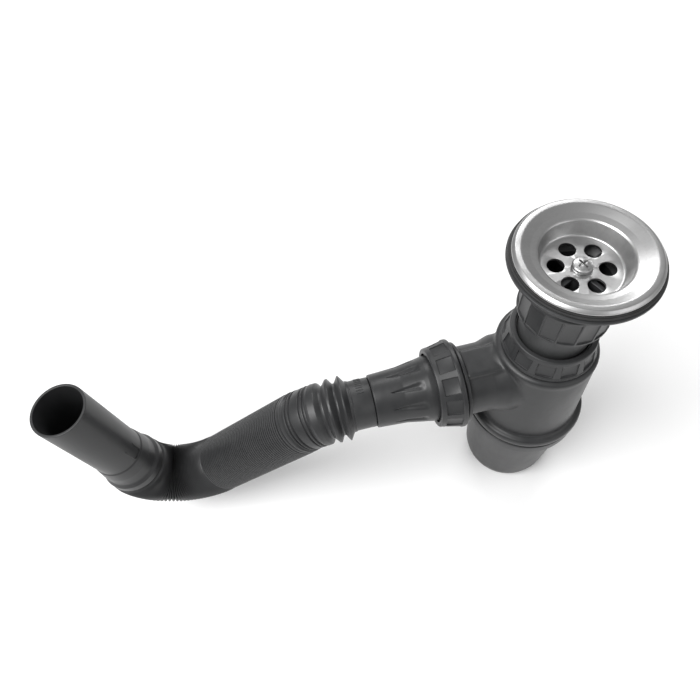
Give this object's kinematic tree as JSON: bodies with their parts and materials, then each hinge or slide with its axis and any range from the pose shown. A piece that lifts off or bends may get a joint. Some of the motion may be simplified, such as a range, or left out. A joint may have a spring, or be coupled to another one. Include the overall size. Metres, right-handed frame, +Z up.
{
  "type": "bottle trap with strainer waste and flexible outlet",
  "caption": "Sink bottle trap: round strainer waste, slip-jointed bottle with screw-on cup, and a corrugated flexible outlet hose ending in a plain spigot.",
  "frame": {"origin": "on the waste's axis, at the underside of the strainer's flange, where it sits on the sink", "axes": "+Z up out of the sink, -X along the outlet branch, right-handed; metres"},
  "size_m": [0.3302, 0.0779, 0.2322],
  "materials": {
    "steel": "brushed, soft sheen",
    "screw_steel": "machined, slightly worn",
    "brass": "plain machined",
    "black_rubber": "matt",
    "charcoal": "moulded polypropylene, satin",
    "hose_grey": "blow-moulded polypropylene, satin"
  },
  "bodies": {
    "sink_waste": {"waste_body": "charcoal", "screw_insert": "brass", "sink_gasket": "black_rubber", "union_seal": "black_rubber", "inlet_tube": "charcoal"},
    "strainer": {"strainer_plate": "steel", "strainer_gasket": "black_rubber"},
    "screw": {"strainer_screw": "screw_steel"},
    "union_collar": {"union_nut": "charcoal"},
    "slip_seals": {"bottle_cone_seal": "black_rubber", "bottle_slip_ring": "charcoal"},
    "bottle": {"bottle_body": "charcoal", "outlet_cone_seal": "black_rubber", "outlet_slip_ring": "charcoal"},
    "bottle_collar": {"bottle_nut": "charcoal"},
    "cup_ring": {"cup_seal": "black_rubber"},
    "cup": {"cup": "charcoal"},
    "outlet_collar": {"outlet_nut": "charcoal"},
    "outlet_reducer": {"reducer": "charcoal", "reducer_seal": "black_rubber"},
    "hose_root": {"hose_cuff": "hose_grey", "hose_bellows": "hose_grey"},
    "hose_upper": {"hose_run_top": "hose_grey", "hose_run": "hose_grey"},
    "hose_lower": {"hose_run_end": "hose_grey", "hose_bend": "hose_grey"},
    "spigot": {"hose_spigot": "hose_grey"}
  },
  "joints": [
    {"name": "strainer_lift", "type": "slide", "parent": "sink_waste", "child": "strainer", "axis": [0, 0, 1], "range_m": [0, 0.06]},
    {"name": "screw_turn", "type": "hinge", "parent": "strainer", "child": "screw", "pos_m": [0, 0, 0], "axis": [0, 0, 1], "continuous": true},
    {"name": "union_nut_turn", "type": "hinge", "parent": "sink_waste", "child": "union_collar", "pos_m": [0, 0, -0.035], "axis": [0, 0, 1], "continuous": true},
    {"name": "height_slide", "type": "slide", "parent": "sink_waste", "child": "slip_seals", "axis": [0, 0, -1], "range_m": [-0.012, 0.035]},
    {"name": "bottle_swivel", "type": "hinge", "parent": "slip_seals", "child": "bottle", "pos_m": [0, 0, -0.1028], "axis": [0, 0, 1], "range_deg": [-180, 180]},
    {"name": "bottle_nut_turn", "type": "hinge", "parent": "bottle", "child": "bottle_collar", "pos_m": [0, 0, -0.069], "axis": [0, 0, 1], "continuous": true},
    {"name": "cup_drop", "type": "slide", "parent": "bottle", "child": "cup_ring", "axis": [0, 0, -1], "range_m": [0, 0.012]},
    {"name": "cup_turn", "type": "hinge", "parent": "cup_ring", "child": "cup", "pos_m": [0, 0, -0.16], "axis": [0, 0, -1], "range_deg": [0, 1080]},
    {"name": "outlet_nut_turn", "type": "hinge", "parent": "bottle", "child": "outlet_collar", "pos_m": [-0.062, 0, -0.1028], "axis": [-1, 0, 0], "continuous": true},
    {"name": "reducer_slide", "type": "slide", "parent": "bottle", "child": "outlet_reducer", "axis": [-1, 0, 0], "range_m": [0, 0.012]},
    {"name": "hose_swivel", "type": "hinge", "parent": "outlet_reducer", "child": "hose_root", "pos_m": [-0.1, 0, -0.1028], "axis": [-1, 0, 0], "continuous": true},
    {"name": "hose_tilt", "type": "hinge", "parent": "hose_root", "child": "hose_upper", "pos_m": [-0.14, 0, -0.1028], "axis": [0, -0.9842, -0.1773], "range_deg": [-42, 20], "deforming": ["hose_bellows"]},
    {"name": "hose_stretch", "type": "slide", "parent": "hose_upper", "child": "hose_lower", "axis": [-0.7309, 0.121, -0.6717], "range_m": [0, 0.06], "deforming": ["hose_run"]},
    {"name": "spigot_tilt", "type": "hinge", "parent": "hose_lower", "child": "spigot", "pos_m": [-0.24956, 0.01762, -0.18266], "axis": [0.1414, 0.9896, 0.0244], "range_deg": [-25, 25], "deforming": ["hose_bend"]}
  ],
  "couplings": [
    {"joint": "cup_turn", "follows": "cup_drop", "rad_per_m": 1570.8}
  ]
}
